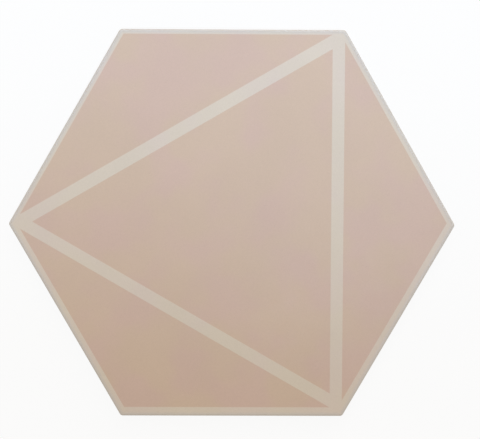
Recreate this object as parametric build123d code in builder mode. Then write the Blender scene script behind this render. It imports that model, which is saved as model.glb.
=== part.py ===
"""Hexagonal porcelain floor and wall tile, pressed and fired as one piece.

The tile lies on its keyed back with the glazed face up. X runs from corner to corner,
Y from flat to flat, and the origin is the centre of the back, level with the rib crests.
All sizes are in millimetres and all angles in degrees.
"""

import os
from math import ceil, cos, radians, tan

from build123d import *

# Overall size
across_corners = 250.0  # nominal size, from one sharp corner to the opposite one
thickness = 8.5  # from the rib crests of the back to the glazed face

# Pressed outline and edges
corner_radius = 2.0  # rounding of each corner, seen from above
face_edge_radius = 1.4  # soft edge all round the glazed face
side_land = 3.6  # upright band under the soft edge, which meets the grout joint
side_draft = 4.0  # lean of the side below the land, which frees the tile from its die
back_edge_chamfer = 0.6  # arris between the side and the back

# Keyed back: a honeycomb of shallow pockets between ribs, inside a plain rim
rim_width = 7.0  # least distance from the arris of the back to a pocket
cell_pitch = 25.0  # from one pocket's centre to the next
rib_width = 4.0  # at the crest
pocket_depth = 0.8
pocket_draft = 25.0  # lean of the pocket walls
pocket_corner_radius = 2.0
smallest_cell = 0.2  # a pocket that the rim leaves less of than this share isn't pressed

# Sizes that follow from the hexagon
side_count = 6
half_corner = 180 / side_count
across_flats = across_corners * cos(radians(half_corner))
draft_height = thickness - face_edge_radius - side_land
draft_inset = draft_height * tan(radians(side_draft))
back_apothem = across_flats / 2 - draft_inset - back_edge_chamfer

# Each pocket is drawn as a sharp core, which is then grown by its corner radius
core_apothem = (cell_pitch - rib_width) / 2 - pocket_corner_radius
core_area = side_count * core_apothem**2 * tan(radians(half_corner))
rim_apothem = back_apothem - rim_width - pocket_corner_radius

# Centres of the honeycomb, in rows along X, with one pocket in the middle of the tile
row_spacing = cell_pitch * cos(radians(half_corner))
reach = ceil(across_corners / 2 / row_spacing)
cell_centres = [
    (cell_pitch * (column + row / 2), row_spacing * row)
    for row in range(-reach, reach + 1)
    for column in range(-2 * reach, 2 * reach + 1)
]

with BuildPart() as tile:
    # The blank: outline, upright land, drafted lower side, soft face edge and arris
    with BuildSketch(Plane.XY.offset(thickness)) as face_outline:
        RegularPolygon(across_corners / 2, side_count)
        fillet(face_outline.vertices(), corner_radius)
    extrude(amount=-(face_edge_radius + side_land))
    lower_outline = tile.faces().sort_by(Axis.Z)[0]
    extrude(lower_outline, amount=draft_height, taper=side_draft)
    fillet(tile.faces().sort_by(Axis.Z)[-1].edges(), face_edge_radius)
    chamfer(tile.faces().sort_by(Axis.Z)[0].edges(), back_edge_chamfer)

    # The keyed back: the cores are clipped by the rim, grown, and pressed into the blank
    with BuildSketch(Plane.XY) as pocket_plan:
        with Locations(*cell_centres):
            RegularPolygon(core_apothem, side_count, major_radius=False, rotation=half_corner)
        RegularPolygon(rim_apothem, side_count, major_radius=False, mode=Mode.INTERSECT)
        pressed = [core for core in pocket_plan.faces() if core.area > smallest_cell * core_area]
        offset(pressed, amount=pocket_corner_radius, kind=Kind.ARC, mode=Mode.REPLACE)
    extrude(amount=pocket_depth, taper=pocket_draft, mode=Mode.SUBTRACT)

tile.part.label = "tile"
os.makedirs("parts", exist_ok=True)
export_step(tile.part, "parts/tile.step")
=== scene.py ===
"""Looks of a hexagonal porcelain tile, lying face up on a pale floor in soft light.

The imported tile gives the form. This script gives it a satin glaze with a printed border
and inscribed triangle, a bare fired body on its sides and back, and the light and camera.
Sizes on the tile are named in millimetres, and sizes of the studio in metres.
"""

import logging
import math
from dataclasses import dataclass, field
from enum import Enum

import bpy
from mathutils import Euler, Matrix, Vector


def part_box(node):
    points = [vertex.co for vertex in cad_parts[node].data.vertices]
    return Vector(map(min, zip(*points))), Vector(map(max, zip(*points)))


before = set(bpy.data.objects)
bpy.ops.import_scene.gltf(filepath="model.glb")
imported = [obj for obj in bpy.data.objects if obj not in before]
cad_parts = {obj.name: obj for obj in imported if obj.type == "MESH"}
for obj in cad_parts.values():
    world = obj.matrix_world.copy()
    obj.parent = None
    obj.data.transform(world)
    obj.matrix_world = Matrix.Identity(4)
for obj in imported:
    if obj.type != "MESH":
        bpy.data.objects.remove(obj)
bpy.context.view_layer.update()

MM = 0.001
LOG = logging.getLogger("tile")

# A mix node has sockets for every kind of thing that it mixes, and these are their places.
MIX_SHARE = 0
MIX_VALUES = (2, 3)
MIX_COLOURS = (6, 7)
MIXED_VALUE = 0
MIXED_COLOUR = 2

Triple = tuple[float, float, float]
Colour = Triple
Socket = bpy.types.NodeSocket
Value = float | Socket
Tone = Colour | Socket


class Op(Enum):
    """Sums of single values, by Blender's names."""

    ADD = "ADD"
    SUBTRACT = "SUBTRACT"
    MULTIPLY = "MULTIPLY"
    LARGER = "MAXIMUM"
    UNSIGNED = "ABSOLUTE"


class VectorOp(Enum):
    """Sums of places or colours, by Blender's names."""

    SUBTRACT = "SUBTRACT"
    MULTIPLY = "MULTIPLY"
    ALONG = "DOT_PRODUCT"
    SCALE = "SCALE"
    LENGTH = "LENGTH"


class Ray(Enum):
    """Kinds of ray that see the white studio instead of the plain lit one."""

    CAMERA = "Is Camera Ray"
    GLOSSY = "Is Glossy Ray"
    TRANSMISSION = "Is Transmission Ray"


@dataclass
class ShaderGraph:
    """Short calls for wiring one shader tree."""

    tree: bpy.types.NodeTree

    @classmethod
    def of(cls, owner: bpy.types.Material | bpy.types.World) -> "ShaderGraph":
        """Empties the tree of a material or a world.

        Args:
            owner: the material or the world.

        Returns:
            Its tree, with no nodes in it.
        """
        owner.use_nodes = True
        owner.node_tree.nodes.clear()
        return cls(owner.node_tree)

    def node(self, kind: str, **settings: object) -> bpy.types.Node:
        """Adds a node.

        Args:
            kind: Blender's name of the node type.
            settings: attributes to set on the new node.

        Returns:
            The new node.
        """
        made = self.tree.nodes.new(kind)
        for name, setting in settings.items():
            setattr(made, name, setting)
        return made

    def feed(self, socket: Socket, value: object) -> None:
        """Links a socket to another one, or sets its number or colour.

        Args:
            socket: the input to fill.
            value: an output socket, a number or a sequence of numbers.
        """
        if isinstance(value, bpy.types.NodeSocket):
            self.tree.links.new(value, socket)
        else:
            socket.default_value = value

    def calc(self, op: Op, first: Value, second: Value = 0.0) -> Socket:
        """Works out one sum of two values.

        Args:
            op: the sum.
            first: the first value.
            second: the second value, which a sum of one value ignores.

        Returns:
            The result.
        """
        made = self.node("ShaderNodeMath", operation=op.value)
        self.feed(made.inputs[0], first)
        self.feed(made.inputs[1], second)
        return made.outputs[0]

    def vector_calc(self, op: VectorOp, *values: object) -> bpy.types.Node:
        """Works out one sum of places or colours.

        Args:
            op: the sum.
            values: its places or colours, each a socket or three numbers.

        Returns:
            The node, with the result in its Vector output or its Value output.
        """
        made = self.node("ShaderNodeVectorMath", operation=op.value)
        for socket, value in zip(made.inputs, values):
            self.feed(socket, value)
        return made

    def along(self, place: Socket, direction: Vector) -> Socket:
        """Returns how far a place lies from the origin along a direction."""
        return self.vector_calc(VectorOp.ALONG, place, direction).outputs["Value"]

    def noise(self, place: Socket, sizes: Vector, octaves: float, seed: float) -> Socket:
        """Adds a seeded noise.

        Args:
            place: where the surface is, in metres.
            sizes: millimetres from one blotch to the next along each axis.
            octaves: how many finer layers it has.
            seed: where the noise is cut in its fourth dimension.

        Returns:
            A value from 0 to 1, mostly near 0.5.
        """
        factors = Vector(1 / (size * MM) for size in sizes)
        scaled = self.vector_calc(VectorOp.MULTIPLY, place, factors).outputs["Vector"]
        made = self.node("ShaderNodeTexNoise", noise_dimensions="4D")
        self.feed(made.inputs["Vector"], scaled)
        made.inputs["W"].default_value = seed
        made.inputs["Scale"].default_value = 1.0
        made.inputs["Detail"].default_value = octaves
        return made.outputs["Fac"]

    def step(self, value: Value, start: float, end: float) -> Socket:
        """Rises smoothly from 0 at start to 1 at end.

        Args:
            value: the value to read.
            start: where the result leaves 0.
            end: where the result reaches 1. It may be below start.

        Returns:
            The result, from 0 to 1.
        """
        made = self.node("ShaderNodeMapRange", interpolation_type="SMOOTHSTEP")
        self.feed(made.inputs["Value"], value)
        made.inputs["From Min"].default_value = start
        made.inputs["From Max"].default_value = end
        return made.outputs["Result"]

    def mix(self, share: Value, below: Value, above: Value) -> Socket:
        """Mixes two values.

        Args:
            share: how much of the second value counts, from 0 to 1.
            below: the first value.
            above: the second value.

        Returns:
            The mixed value.
        """
        made = self.node("ShaderNodeMix", data_type="FLOAT")
        self.feed(made.inputs[MIX_SHARE], share)
        for spot, value in zip(MIX_VALUES, (below, above)):
            self.feed(made.inputs[spot], value)
        return made.outputs[MIXED_VALUE]

    def blend(self, share: Value, below: Tone, above: Tone) -> Socket:
        """Mixes two colours.

        Args:
            share: how much of the second colour shows, from 0 to 1.
            below: the first colour.
            above: the second colour.

        Returns:
            The mixed colour.
        """
        made = self.node("ShaderNodeMix", data_type="RGBA")
        self.feed(made.inputs[MIX_SHARE], share)
        for spot, colour in zip(MIX_COLOURS, (below, above)):
            is_wired = isinstance(colour, bpy.types.NodeSocket)
            self.feed(made.inputs[spot], colour if is_wired else (*colour, 1.0))
        return made.outputs[MIXED_COLOUR]

    def tinted(self, colour: Tone, gain: Value) -> Socket:
        """Multiplies a colour by a value, such as 1.02 to lighten it by two percent.

        Args:
            colour: the colour.
            gain: the value to multiply it by.

        Returns:
            The changed colour.
        """
        made = self.vector_calc(VectorOp.SCALE, colour)
        self.feed(made.inputs["Scale"], gain)
        return made.outputs["Vector"]


@dataclass(frozen=True)
class Hexagon:
    """The tile's outline seen from above, with sharp corners on the X axis."""

    corner_reach: float  # from the centre to a corner, in metres
    side_angles: tuple[int, ...] = (30, 90, 150)  # degrees that three sides face

    @property
    def apothem(self) -> float:
        """The distance from the centre to a side."""
        return self.corner_reach * math.cos(math.radians(30))

    @staticmethod
    def facing(degrees: float) -> Vector:
        """Returns the level direction at an angle from X."""
        return Vector((math.cos(math.radians(degrees)), math.sin(math.radians(degrees)), 0.0))

    def reach(self, graph: ShaderGraph, place: Socket) -> Socket:
        """Measures how far out a place lies.

        Args:
            graph: the tree to add to.
            place: where the surface is, in metres.

        Returns:
            The distance from the centre, square to the nearest side: the apothem on the outline.
        """
        farthest: Value = 0.0
        for degrees in self.side_angles:
            outward = graph.calc(Op.UNSIGNED, graph.along(place, self.facing(degrees)))
            farthest = graph.calc(Op.LARGER, outward, farthest)
        return farthest


@dataclass(frozen=True)
class Grain:
    """A seeded unevenness of one scale, such as mottling, grain or small undulations."""

    size: float  # millimetres from one blotch to the next
    swing: float  # the most that it adds or takes away
    octaves: float = 2.0
    stretch: Triple = (1.0, 1.0, 1.0)  # above 1 along an axis draws it out that way
    seed: float = 0.0

    def wire(self, graph: ShaderGraph, place: Socket) -> Socket:
        """Adds the grain to a tree.

        Args:
            graph: the tree to add to.
            place: where the surface is, in metres.

        Returns:
            A value from -swing to +swing.
        """
        sizes = Vector(self.size * drawn_out for drawn_out in self.stretch)
        noise = graph.noise(place, sizes, self.octaves, self.seed)
        return graph.calc(Op.MULTIPLY, graph.calc(Op.SUBTRACT, noise, 0.5), 2 * self.swing)


@dataclass(frozen=True)
class Specks:
    """Sparse dark specks, such as iron leaves in fired clay."""

    size: float  # millimetres from one peak of their noise to the next
    peak: float  # value of the noise, from 0 to 1, where a speck starts
    depth: float  # share of the colour that a speck takes away
    seed: float
    rise: float = 0.06  # how much higher the noise is where a speck is darkest

    def gain(self, graph: ShaderGraph, place: Socket) -> Socket:
        """Wires the specks.

        Args:
            graph: the tree to add to.
            place: where the surface is, in metres.

        Returns:
            A factor for the colour: 1 between the specks and less on them.
        """
        sizes = Vector((self.size, self.size, self.size))
        noise = graph.noise(place, sizes, octaves=0.0, seed=self.seed)
        speck = graph.step(noise, self.peak, self.peak + self.rise)
        return graph.calc(Op.SUBTRACT, 1.0, graph.calc(Op.MULTIPLY, speck, self.depth))


@dataclass(frozen=True)
class Coat:
    """One fired coat: its colour, the colour that it drifts to in patches, and its roughness."""

    colour: Colour
    drift: Colour
    roughness: float


@dataclass(frozen=True)
class Coverage:
    """How much of each coat lies at a place, each from 0 to 1."""

    printed: Socket
    # Share of the rim coat: partly thin glaze, partly a painted highlight on the rounded edge.
    thinned_and_sheen: Socket
    glazed: Socket
    gathered: Socket
    washed: Socket


@dataclass(frozen=True)
class Finish:
    """A fired surface of one or more coats, and how uneven all of them are."""

    patches: Grain  # where the colour drifts
    shades: tuple[Grain, ...]  # lighten and darken the colour by a share of it
    specks: Specks
    gloss: Grain
    relief: tuple[Grain, ...]  # heights in millimetres
    patch_blur: float = 0.25  # how soft a patch's edge is, as a share of the patches' swing

    def coats(self, cover: Coverage) -> list[tuple[Coat, Value]]:
        """Returns each coat with the share of it that lies over the coats before it."""
        raise NotImplementedError

    def colour(self, graph: ShaderGraph, place: Socket, cover: Coverage) -> Socket:
        """Wires the colour.

        Args:
            graph: the tree to add to.
            place: where the surface is, in metres.
            cover: how much of each coat lies there.

        Returns:
            The colour that shows.
        """
        blur = self.patches.swing * self.patch_blur
        drifted = graph.step(self.patches.wire(graph, place), -blur, blur)
        shown: Tone = (0.0, 0.0, 0.0)
        for coat, share in self.coats(cover):
            shown = graph.blend(share, shown, graph.blend(drifted, coat.colour, coat.drift))
        gain = self.specks.gain(graph, place)
        for grain in self.shades:
            gain = graph.calc(Op.ADD, gain, grain.wire(graph, place))
        return graph.tinted(shown, gain)

    def roughness(self, graph: ShaderGraph, place: Socket, cover: Coverage) -> Socket:
        """Wires the roughness.

        Args:
            graph: the tree to add to.
            place: where the surface is, in metres.
            cover: how much of each coat lies there.

        Returns:
            The roughness that shows.
        """
        shown: Value = 0.0
        for coat, share in self.coats(cover):
            shown = graph.mix(share, shown, coat.roughness)
        return graph.calc(Op.ADD, shown, self.gloss.wire(graph, place))

    def height(self, graph: ShaderGraph, place: Socket) -> Socket:
        """Wires the relief.

        Args:
            graph: the tree to add to.
            place: where the surface is, in metres.

        Returns:
            The height of the relief, in millimetres.
        """
        total: Value = 0.0
        for grain in self.relief:
            total = graph.calc(Op.ADD, grain.wire(graph, place), total)
        return total


@dataclass(frozen=True)
class SatinGlaze(Finish):
    """Satin glaze of the face: rose fields, an off-white print, and a paler rim that is partly
    thin glaze and partly a painted highlight on the rounded edge.
    """

    rose: Coat = Coat(colour=(0.551, 0.417, 0.317), drift=(0.551, 0.403, 0.331), roughness=0.42)
    pale: Coat = Coat(colour=(0.598, 0.521, 0.427), drift=(0.598, 0.511, 0.437), roughness=0.46)
    # Pale, cool rim colour: partly glaze run thin, partly a painted highlight of the rounded
    # edge.
    thin_and_sheen: Coat = Coat(colour=(0.540, 0.496, 0.443), drift=(0.540, 0.492, 0.449), roughness=0.40)
    patches: Grain = Grain(size=27.0, swing=1.0, seed=6.0)
    shades: tuple[Grain, ...] = (
        Grain(size=38.0, swing=0.045, seed=1.0),
        Grain(size=0.9, swing=0.035, octaves=3.0, seed=2.0),
        Grain(size=0.32, swing=0.06, octaves=1.0, seed=7.0),
    )
    specks: Specks = Specks(size=0.5, peak=0.74, depth=0.12, seed=62.0)
    gloss: Grain = Grain(size=6.0, swing=0.05, seed=3.0)
    relief: tuple[Grain, ...] = (
        Grain(size=24.0, swing=0.020, octaves=1.0, seed=4.0),
        Grain(size=2.1, swing=0.010, octaves=2.0, seed=5.0),
        Grain(size=0.4, swing=0.002, octaves=1.0, seed=8.0),
    )

    def coats(self, cover: Coverage) -> list[tuple[Coat, Value]]:
        """Returns the rose coat, the print over it, and the thin glaze with its painted edge
        highlight over both.
        """
        return [(self.rose, 1.0), (self.pale, cover.printed), (self.thin_and_sheen, cover.thinned_and_sheen)]


@dataclass(frozen=True)
class FiredClay(Finish):
    """The bare porcelain of the lower side and the back, with the kiln wash on it."""

    body: Coat = Coat(colour=(0.635, 0.588, 0.515), drift=(0.620, 0.580, 0.518), roughness=0.82)
    wash: Coat = Coat(colour=(0.780, 0.765, 0.730), drift=(0.765, 0.752, 0.725), roughness=0.90)
    patches: Grain = Grain(size=22.0, swing=1.0, seed=17.0)
    shades: tuple[Grain, ...] = (
        Grain(size=30.0, swing=0.04, seed=11.0),
        Grain(size=1.1, swing=0.07, octaves=4.0, seed=12.0),
        Grain(size=0.9, swing=0.07, stretch=(1.0, 1.0, 16.0), seed=15.0),
    )
    specks: Specks = Specks(size=0.55, peak=0.72, depth=0.20, seed=61.0)
    gloss: Grain = Grain(size=3.0, swing=0.05, seed=13.0)
    relief: tuple[Grain, ...] = (
        Grain(size=0.7, swing=0.015, octaves=3.0, seed=14.0),
        Grain(size=0.5, swing=0.020, stretch=(1.0, 1.0, 20.0), seed=16.0),
    )

    def coats(self, cover: Coverage) -> list[tuple[Coat, Value]]:
        """Returns the bare body and the wash that keeps it from sticking to the rollers."""
        return [(self.body, 1.0), (self.wash, cover.washed)]


@dataclass
class PrintLayout:
    """The printed pattern: a border, and three bands from corner to corner."""

    outline: Hexagon
    band_width: float = 6.9
    border_width: float = 4.05
    offset: tuple[float, float] = (-0.3, 1.2)  # how far the print lies off the centre
    edge_blur: float = 0.25
    wobble: Grain = Grain(size=0.45, swing=0.12, seed=21.0)
    band_angles: tuple[int, ...] = (0, 120, 240)  # degrees that the bands face

    def share(self, graph: ShaderGraph, place: Socket) -> Socket:
        """Wires the print.

        Args:
            graph: the tree to add to.
            place: where the surface is, in metres.

        Returns:
            1 on the bands and the border, and 0 on the fields.
        """
        shift = Vector((self.offset[0] * MM, self.offset[1] * MM, 0.0))
        printed = graph.vector_calc(VectorOp.SUBTRACT, place, shift).outputs["Vector"]
        half_band = self.band_width * MM / 2
        # A side of the triangle in a hexagon lies half as far out as the hexagon's corners.
        band_line = self.outline.corner_reach / 2 - half_band
        border_line = self.outline.apothem - self.border_width * MM
        inside = graph.calc(Op.SUBTRACT, self.outline.reach(graph, printed), border_line)
        for degrees in self.band_angles:
            outward = graph.along(printed, self.outline.facing(degrees))
            off_line = graph.calc(Op.UNSIGNED, graph.calc(Op.SUBTRACT, outward, band_line))
            within = graph.calc(Op.SUBTRACT, half_band, off_line)
            inside = graph.calc(Op.LARGER, within, inside)
        ragged = graph.calc(Op.MULTIPLY, self.wobble.wire(graph, place), MM)
        half_blur = self.edge_blur * MM / 2
        return graph.step(graph.calc(Op.ADD, ragged, inside), -half_blur, half_blur)


@dataclass
class ThinRimAndSheen:
    """Where the glaze runs thin along the rounded edge, painted paler and cooler, partly as a
    painted highlight of that edge.
    """

    outline: Hexagon
    start: float = 3.0  # how far in from the outline it begins
    full: float = 1.1  # how far in from the outline it is thinnest
    most: float = 0.9  # share of the thin coat, with its painted highlight, at the outline
    wander: Grain = Grain(size=4.0, swing=0.5, octaves=3.0, seed=51.0)

    def share(self, graph: ShaderGraph, place: Socket) -> Socket:
        """Wires the rim.

        Args:
            graph: the tree to add to.
            place: where the surface is, in metres.

        Returns:
            0 on the face, rising to its most at the outline and down the side.
        """
        ragged = graph.calc(Op.MULTIPLY, self.wander.wire(graph, place), MM)
        reach = graph.calc(Op.ADD, ragged, self.outline.reach(graph, place))
        apothem = self.outline.apothem
        # Paler towards the outline on every side: thin glaze plus a painted edge highlight.
        risen = graph.step(reach, apothem - self.start * MM, apothem - self.full * MM)
        return graph.calc(Op.MULTIPLY, risen, self.most)


@dataclass
class GlazeEdge:
    """Where the glaze ends on the side, in an uneven bead above the bare body."""

    line: float = 5.0  # height of the glaze's edge above the floor
    wander: Grain = Grain(size=9.0, swing=1.3, octaves=4.0, seed=31.0)
    fade: float = 0.3  # height over which the glaze's edge fades
    bead_crest: float = 0.45  # how far above the edge the gathered glaze is thickest
    bead_top: float = 1.35  # how far above the edge the bead ends
    bead_shade: float = 0.07  # share of the colour that the gathered glaze takes away
    thickness: float = 0.10  # of the glaze, and of the bead on top of it

    def above(self, graph: ShaderGraph, place: Socket, height: Socket) -> Socket:
        """Returns how far a place lies above the wandering edge, in metres."""
        wander = graph.calc(Op.MULTIPLY, self.wander.wire(graph, place), MM)
        return graph.calc(Op.SUBTRACT, graph.calc(Op.ADD, wander, height), self.line * MM)

    def share(self, graph: ShaderGraph, above: Socket) -> Socket:
        """Returns 1 where the glaze lies and 0 on the bare body."""
        return graph.step(above, -self.fade / 2 * MM, self.fade / 2 * MM)

    def gathered(self, graph: ShaderGraph, above: Socket) -> Socket:
        """Wires the bead.

        Args:
            graph: the tree to add to.
            above: how far the surface lies above the wandering edge, in metres.

        Returns:
            1 in the middle of the bead and 0 away from it.
        """
        rise = graph.step(above, -self.fade / 2 * MM, self.bead_crest * MM)
        fall = graph.step(above, self.bead_top * MM, self.bead_crest * MM)
        return graph.calc(Op.MULTIPLY, rise, fall)


@dataclass
class BackWash:
    """Where the kiln wash holds: on the rib crests and rim, in streaks along X."""

    crest: float = 0.12  # height over the floor up to which the wash is thick
    pocket: float = 0.75  # height in the pockets where only the dusting is left
    side: float = 1.2  # height where the last of it ends
    dusting: float = 0.22  # share of it in the pockets
    streaks: Grain = Grain(size=2.6, swing=1.0, octaves=3.0, stretch=(22.0, 1.0, 1.0), seed=41.0)
    streak_bare: float = -0.45  # value of the streaks where the wash is worn through
    streak_full: float = 0.25  # value of the streaks where it is whole

    def share(self, graph: ShaderGraph, place: Socket, height: Socket) -> Socket:
        """Wires the wash.

        Args:
            graph: the tree to add to.
            place: where the surface is, in metres.
            height: how high it is above the floor, in metres.

        Returns:
            1 under full wash and 0 on the bare body.
        """
        thick = graph.step(height, self.pocket * MM, self.crest * MM)
        low = graph.step(height, self.side * MM, self.pocket * MM)
        thick = graph.calc(Op.LARGER, thick, graph.calc(Op.MULTIPLY, low, self.dusting))
        streaks = self.streaks.wire(graph, place)
        whole = graph.step(streaks, self.streak_bare, self.streak_full)
        return graph.calc(Op.MULTIPLY, thick, whole)


@dataclass
class HexTile:
    """The tile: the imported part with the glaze, the print and the bare body on it."""

    part: bpy.types.Object
    low: Vector
    high: Vector
    glaze: SatinGlaze = field(default_factory=SatinGlaze)
    clay: FiredClay = field(default_factory=FiredClay)
    edge: GlazeEdge = field(default_factory=GlazeEdge)
    back: BackWash = field(default_factory=BackWash)
    print_thickness: float = 0.018
    glaze_index: float = 1.5

    def outline(self) -> Hexagon:
        """Returns the outline, worked out from the part's width from flat to flat."""
        return Hexagon(corner_reach=(self.high.y - self.low.y) / math.sqrt(3))

    def cover(self, graph: ShaderGraph, place: Socket) -> Coverage:
        """Wires where each coat lies.

        Args:
            graph: the tree to add to.
            place: where the surface is, in metres.

        Returns:
            How much of each coat lies there.
        """
        height = graph.along(place, Vector((0.0, 0.0, 1.0)))
        above = self.edge.above(graph, place, height)
        return Coverage(
            printed=PrintLayout(self.outline()).share(graph, place),
            # The rim coat stands partly for a painted highlight on the rounded edge.
            thinned_and_sheen=ThinRimAndSheen(self.outline()).share(graph, place),
            glazed=self.edge.share(graph, above),
            gathered=self.edge.gathered(graph, above),
            washed=self.back.share(graph, place, height),
        )

    def colour(self, graph: ShaderGraph, place: Socket, cover: Coverage) -> Socket:
        """Wires the colour, a little deeper in the bead of gathered glaze.

        Args:
            graph: the tree to add to.
            place: where the surface is, in metres.
            cover: how much of each coat lies there.

        Returns:
            The colour of the whole tile.
        """
        darkening = graph.calc(Op.MULTIPLY, cover.gathered, self.edge.bead_shade)
        gain = graph.calc(Op.SUBTRACT, 1.0, darkening)
        glaze = graph.tinted(self.glaze.colour(graph, place, cover), gain)
        return graph.blend(cover.glazed, self.clay.colour(graph, place, cover), glaze)

    def roughness(self, graph: ShaderGraph, place: Socket, cover: Coverage) -> Socket:
        """Returns the roughness of the whole tile, glazed or bare."""
        glaze = self.glaze.roughness(graph, place, cover)
        return graph.mix(cover.glazed, self.clay.roughness(graph, place, cover), glaze)

    def relief(self, graph: ShaderGraph, place: Socket, cover: Coverage) -> Socket:
        """Wires the relief, with the steps up to the print and the coat of glaze.

        Args:
            graph: the tree to add to.
            place: where the surface is, in metres.
            cover: how much of each coat lies there.

        Returns:
            The height of the relief, in millimetres.
        """
        inked = graph.calc(Op.MULTIPLY, cover.printed, self.print_thickness)
        face = graph.calc(Op.ADD, inked, self.glaze.height(graph, place))
        relief = graph.mix(cover.glazed, self.clay.height(graph, place), face)
        layers = graph.calc(Op.ADD, cover.glazed, cover.gathered)
        return graph.calc(Op.ADD, relief, graph.calc(Op.MULTIPLY, layers, self.edge.thickness))

    def dress(self) -> None:
        """Builds the material and puts it in the part's slot."""
        material = bpy.data.materials.new("glazed_porcelain")
        graph = ShaderGraph.of(material)
        place = graph.node("ShaderNodeTexCoord").outputs["Object"]
        cover = self.cover(graph, place)
        bump = graph.node("ShaderNodeBump")
        bump.inputs["Distance"].default_value = MM
        graph.feed(bump.inputs["Height"], self.relief(graph, place, cover))

        shader = graph.node("ShaderNodeBsdfPrincipled")
        shader.inputs["IOR"].default_value = self.glaze_index
        graph.feed(shader.inputs["Base Color"], self.colour(graph, place, cover))
        graph.feed(shader.inputs["Roughness"], self.roughness(graph, place, cover))
        graph.feed(shader.inputs["Normal"], bump.outputs[0])
        output = graph.node("ShaderNodeOutputMaterial")
        graph.feed(output.inputs["Surface"], shader.outputs[0])
        self.part.material_slots[0].material = material


def seen_as_white(graph: ShaderGraph) -> Socket:
    """Wires a test of the ray.

    Args:
        graph: the tree to add to.

    Returns:
        1 for each kind of ray in Ray and 0 for the rest.
    """
    path = graph.node("ShaderNodeLightPath")
    share: Value = 0.0
    for ray in Ray:
        share = graph.calc(Op.LARGER, path.outputs[ray.value], share)
    return share


@dataclass
class PaleFloor:
    """A plain pale floor, which shows as white in the picture but keeps a soft shadow."""

    reach: float = 6.0  # metres from the middle to each side
    shadow_full: float = 0.125  # metres from the middle to where the shadow begins to fade
    shadow_end: float = 0.5  # metres from the middle to where the floor is wholly white
    drop: float = 0.02  # millimetres below the tile's back, so that the faces don't flicker
    colour: Colour = (0.86, 0.86, 0.86)
    white: Colour = (0.985, 0.985, 0.985)
    shadow_share: float = 0.09  # share of the lit floor that shows round the tile

    def build(self) -> bpy.types.Object:
        """Lays the floor.

        Returns:
            The floor, dressed.
        """
        mesh = bpy.data.meshes.new("floor")
        corners = [
            (x * self.reach, y * self.reach, -self.drop * MM)
            for x, y in ((-1, -1), (1, -1), (1, 1), (-1, 1))
        ]
        mesh.from_pydata(corners, [], [(0, 1, 2, 3)])
        mesh.materials.append(self.finish())
        floor = bpy.data.objects.new("floor", mesh)
        bpy.context.scene.collection.objects.link(floor)
        return floor

    def finish(self) -> bpy.types.Material:
        """Mixes the lit floor with plain white.

        Returns:
            The floor's material.
        """
        material = bpy.data.materials.new("pale_floor")
        graph = ShaderGraph.of(material)
        lit = graph.node("ShaderNodeBsdfDiffuse")
        lit.inputs["Color"].default_value = (*self.colour, 1.0)
        plain = graph.node("ShaderNodeEmission")
        plain.inputs["Color"].default_value = (*self.white, 1.0)
        place = graph.node("ShaderNodeTexCoord").outputs["Object"]
        away = graph.vector_calc(VectorOp.LENGTH, place).outputs["Value"]
        nearness = graph.step(away, self.shadow_end, self.shadow_full)
        shadow = graph.calc(Op.MULTIPLY, nearness, self.shadow_share)
        whiteness = graph.calc(Op.SUBTRACT, 1.0, shadow)
        mix = graph.node("ShaderNodeMixShader")
        graph.feed(mix.inputs[0], graph.calc(Op.MULTIPLY, seen_as_white(graph), whiteness))
        graph.feed(mix.inputs[1], lit.outputs[0])
        graph.feed(mix.inputs[2], plain.outputs[0])
        output = graph.node("ShaderNodeOutputMaterial")
        graph.feed(output.inputs["Surface"], mix.outputs[0])
        return material


@dataclass
class StudioAir:
    """Even light from all round, seen as white in the picture and in reflections."""

    fill: Colour = (1.0, 0.93, 0.83)
    fill_level: float = 0.725
    white: Colour = (0.985, 0.985, 0.985)

    def build(self) -> bpy.types.World:
        """Makes the world and gives it to the scene.

        Returns:
            The world.
        """
        world = bpy.data.worlds.new("studio_air")
        graph = ShaderGraph.of(world)
        fill = graph.node("ShaderNodeBackground")
        fill.inputs["Color"].default_value = (*self.fill, 1.0)
        fill.inputs["Strength"].default_value = self.fill_level
        plain = graph.node("ShaderNodeBackground")
        plain.inputs["Color"].default_value = (*self.white, 1.0)
        mix = graph.node("ShaderNodeMixShader")
        graph.feed(mix.inputs[0], seen_as_white(graph))
        graph.feed(mix.inputs[1], fill.outputs[0])
        graph.feed(mix.inputs[2], plain.outputs[0])
        output = graph.node("ShaderNodeOutputWorld")
        graph.feed(output.inputs["Surface"], mix.outputs[0])
        bpy.context.scene.world = world
        return world


@dataclass
class Softbox:
    """A large soft lamp, with a grid on its front where its light is kept to a cone."""

    name: str
    place: Vector  # metres
    width: float  # metres
    height: float
    radiance: float  # brightness of its face, where white paper in plain light has 1
    tint: Colour
    aim: Vector = field(default_factory=Vector)
    cone: float = 180.0  # degrees across the light that leaves each point of it

    def build(self) -> bpy.types.Object:
        """Hangs the lamp, square to the Y axis.

        Returns:
            The lamp, placed and aimed.
        """
        half_cone = math.radians(self.cone / 2)
        # A lamp of one power gets brighter as its cone narrows, and this share undoes it.
        passed = 1 - half_cone / math.tan(half_cone)
        lamp = bpy.data.lights.new(self.name, "AREA")
        lamp.shape = "RECTANGLE"
        lamp.size = self.width
        lamp.size_y = self.height
        lamp.color = self.tint
        lamp.spread = math.radians(self.cone)
        lamp.energy = self.radiance * math.pi * self.width * self.height * passed
        facing = (self.aim - self.place).normalized()
        across = facing.cross(Vector((0.0, 1.0, 0.0))).normalized()
        turn = Matrix((across, across.cross(facing), -facing)).transposed()
        box = bpy.data.objects.new(self.name, lamp)
        box.location = self.place
        box.rotation_euler = turn.to_euler()
        bpy.context.scene.collection.objects.link(box)
        return box


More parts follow.
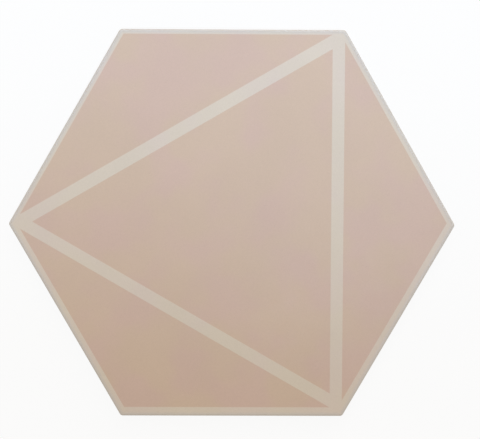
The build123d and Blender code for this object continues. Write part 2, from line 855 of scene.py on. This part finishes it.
@dataclass
class PictureCamera:
    """A camera almost straight above the tile, as the photograph was taken."""

    lens: float = 50.0  # millimetres, on a sensor 36 mm wide
    place: Triple = (0.0019, 0.0152, 0.3805)  # metres
    turn: Triple = (-1.907, -0.368, 0.244)  # degrees about X, Y and Z
    nearest: float = 0.01  # metres from the lens to where its view starts

    def build(self) -> bpy.types.Object:
        """Places the camera and gives it to the scene.

        Returns:
            The camera.
        """
        lens = bpy.data.cameras.new("camera")
        lens.lens = self.lens
        lens.clip_start = self.nearest
        camera = bpy.data.objects.new("camera", lens)
        camera.location = self.place
        camera.rotation_euler = Euler([math.radians(angle) for angle in self.turn])
        bpy.context.scene.collection.objects.link(camera)
        bpy.context.scene.camera = camera
        return camera


def lights() -> list[Softbox]:
    """Lists the studio's lamps.

    Returns:
        A gridded lamp overhead, whose cool beam fades towards the lower side of the picture,
        and a wide window low beyond the upper side.
    """
    return [
        Softbox(
            name="overhead",
            place=Vector((0.119, -0.1, 1.0)),
            width=1.0,
            height=0.43,
            radiance=58.0,
            tint=(0.43, 0.66, 1.0),
            aim=Vector((-0.042, 0.25, 0.0)),
            cone=20.5,
        ),
        Softbox(
            name="window",
            place=Vector((0.7, 1.7, 0.6)),
            width=4.4,
            height=0.9,
            radiance=2.4,
            tint=(0.97, 0.98, 1.0),
        ),
    ]


def main() -> None:
    """Builds the camera, the tile's finish, the floor and the light, and reports each."""
    logging.basicConfig(level=logging.INFO, format="%(message)s")
    bpy.context.scene.view_settings.view_transform = "Standard"
    camera = PictureCamera().build()
    LOG.info("camera %s at %s", camera.name, tuple(round(x, 4) for x in camera.location))

    low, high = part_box("tile")
    tile = HexTile(part=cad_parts["tile"], low=low, high=high)
    tile.dress()
    LOG.info("tile dressed, %.2f mm from centre to corner", tile.outline().corner_reach / MM)

    floor = PaleFloor().build()
    LOG.info("floor %s", floor.name)
    world = StudioAir().build()
    LOG.info("air %s", world.name)
    for softbox in lights():
        LOG.info("lamp %s", softbox.build().name)


if __name__ == "__main__":
    main()
